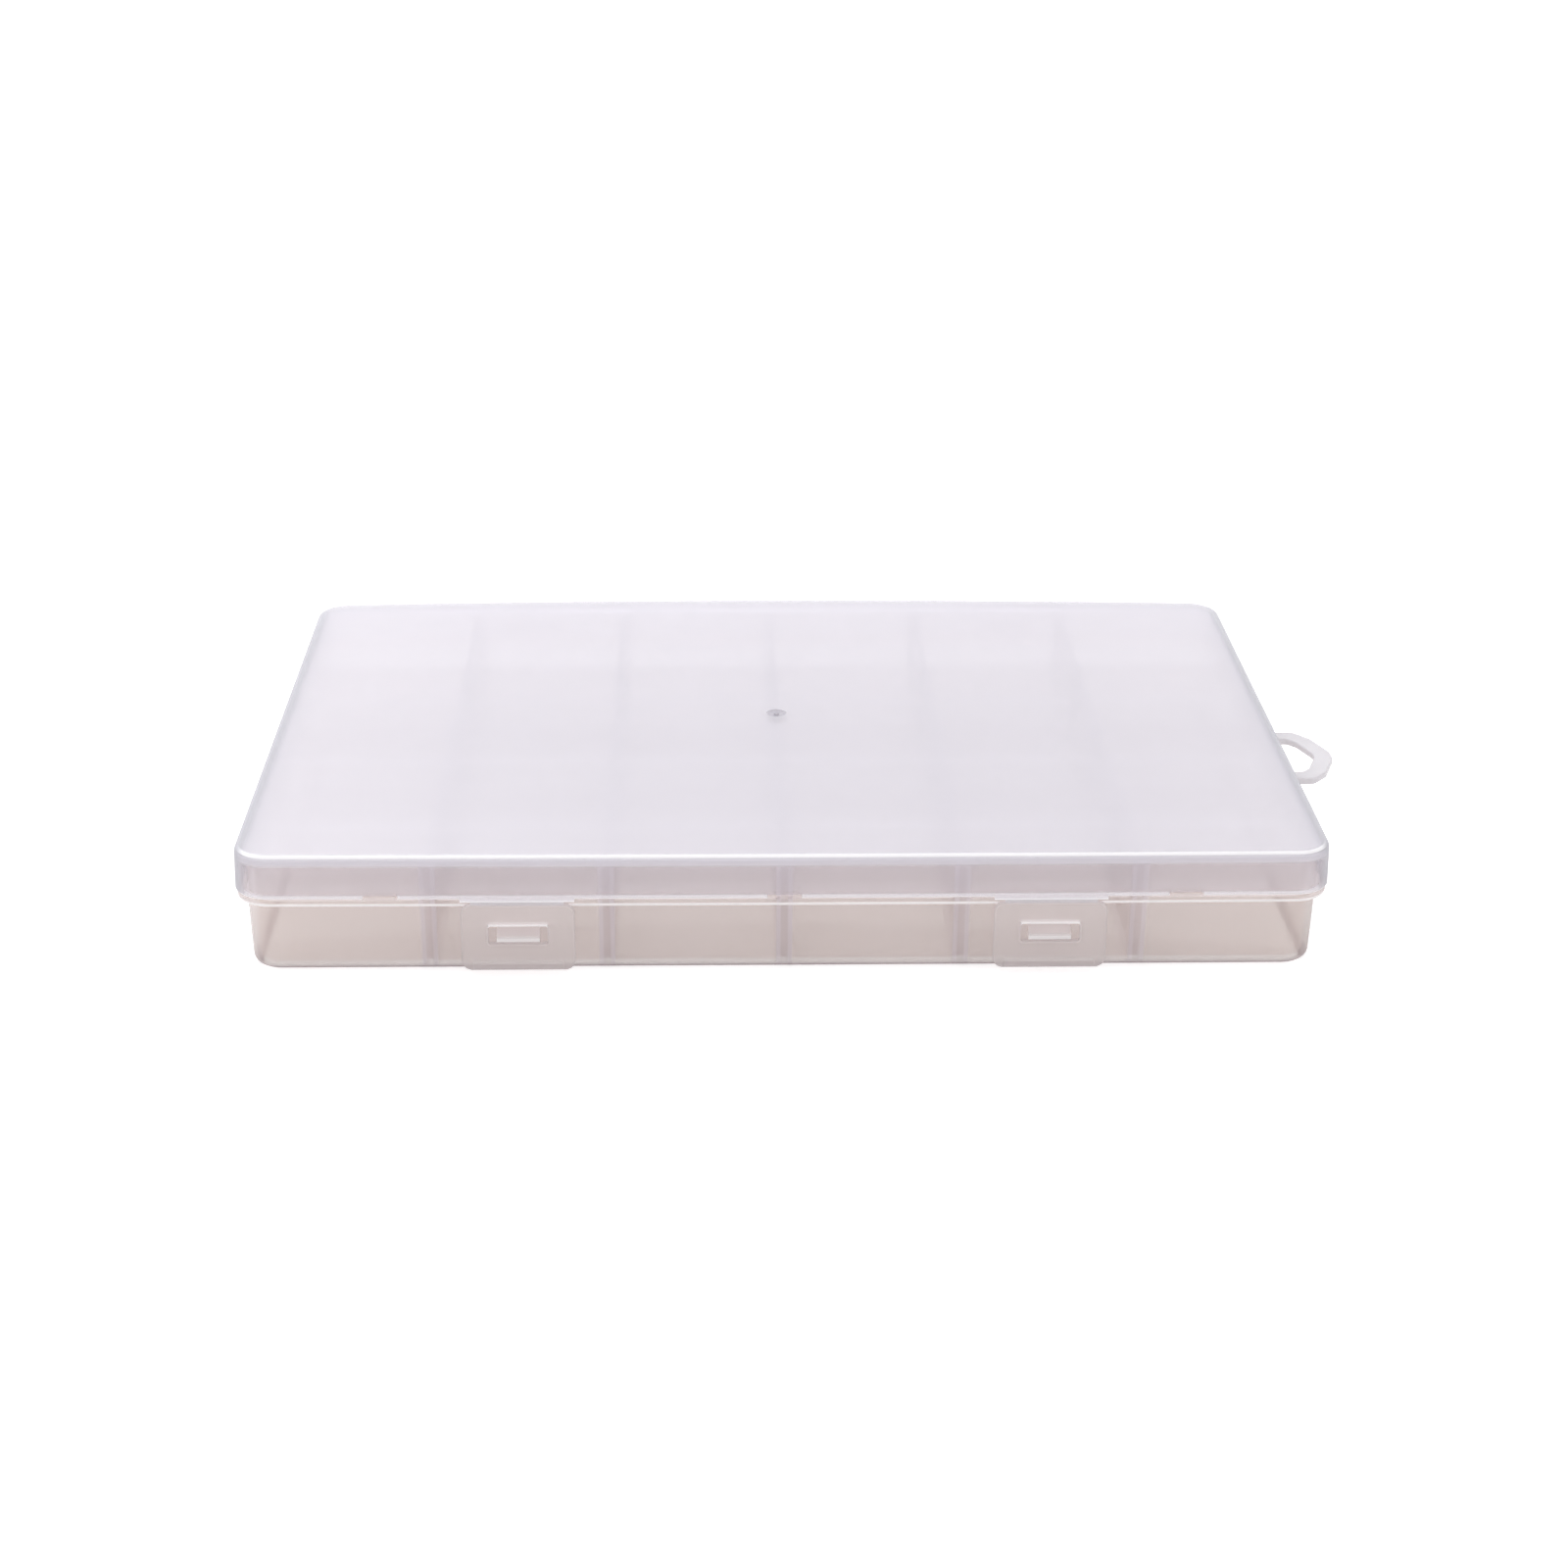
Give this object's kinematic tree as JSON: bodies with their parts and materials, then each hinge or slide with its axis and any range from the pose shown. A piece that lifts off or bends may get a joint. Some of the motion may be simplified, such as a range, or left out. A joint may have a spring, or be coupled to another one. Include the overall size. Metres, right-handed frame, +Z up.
{
  "type": "compartment organizer box",
  "caption": "Flat hinged organizer box in frosted plastic with loose dividers between fixed rows, snap latch flaps on film hinges and a hanging loop at one side.",
  "frame": {"origin": "centre of the tray's underside, on the surface that the box stands on", "axes": "+X to the hanging loop's side, +Y towards the hinge at the back, +Z up"},
  "size_m": [0.2024, 0.1377, 0.0225],
  "materials": {
    "tray_plastic": "clear frosted polypropylene, glossy outside",
    "lid_plastic": "frosted translucent polypropylene, satin",
    "latch_plastic": "clear frosted polypropylene",
    "film_plastic": "stress-whitened polypropylene film",
    "divider_plastic": "clear frosted polypropylene"
  },
  "bodies": {
    "tray_body": {"tray": "tray_plastic", "divider_column_1_row_1": "divider_plastic", "divider_column_1_row_2": "divider_plastic", "divider_column_1_row_3": "divider_plastic", "divider_column_1_row_4": "divider_plastic", "divider_column_2_row_1": "divider_plastic", "divider_column_2_row_2": "divider_plastic", "divider_column_2_row_3": "divider_plastic", "divider_column_2_row_4": "divider_plastic", "divider_column_3_row_1": "divider_plastic", "divider_column_3_row_2": "divider_plastic", "divider_column_3_row_3": "divider_plastic", "divider_column_3_row_4": "divider_plastic", "divider_column_4_row_1": "divider_plastic", "divider_column_4_row_2": "divider_plastic", "divider_column_4_row_3": "divider_plastic", "divider_column_4_row_4": "divider_plastic", "divider_column_5_row_1": "divider_plastic", "divider_column_5_row_2": "divider_plastic", "divider_column_5_row_3": "divider_plastic", "divider_column_5_row_4": "divider_plastic"},
    "lid_body": {"lid": "lid_plastic", "left_latch_film": "film_plastic", "right_latch_film": "film_plastic"},
    "left_latch_body": {"left_latch": "latch_plastic"},
    "right_latch_body": {"right_latch": "latch_plastic"}
  },
  "joints": [
    {"name": "lid_hinge", "type": "hinge", "parent": "tray_body", "child": "lid_body", "pos_m": [0, 0.06928, 0.0145], "axis": [-1, 0, 0], "range_deg": [0, 180]},
    {"name": "left_latch_hinge", "type": "hinge", "parent": "lid_body", "child": "left_latch_body", "pos_m": [-0.0459, -0.0654, 0.0142], "axis": [-1, 0, 0], "range_deg": [0, 110], "deforming": ["left_latch_film"]},
    {"name": "right_latch_hinge", "type": "hinge", "parent": "lid_body", "child": "right_latch_body", "pos_m": [0.0459, -0.0654, 0.0142], "axis": [-1, 0, 0], "range_deg": [0, 110], "deforming": ["right_latch_film"]}
  ]
}
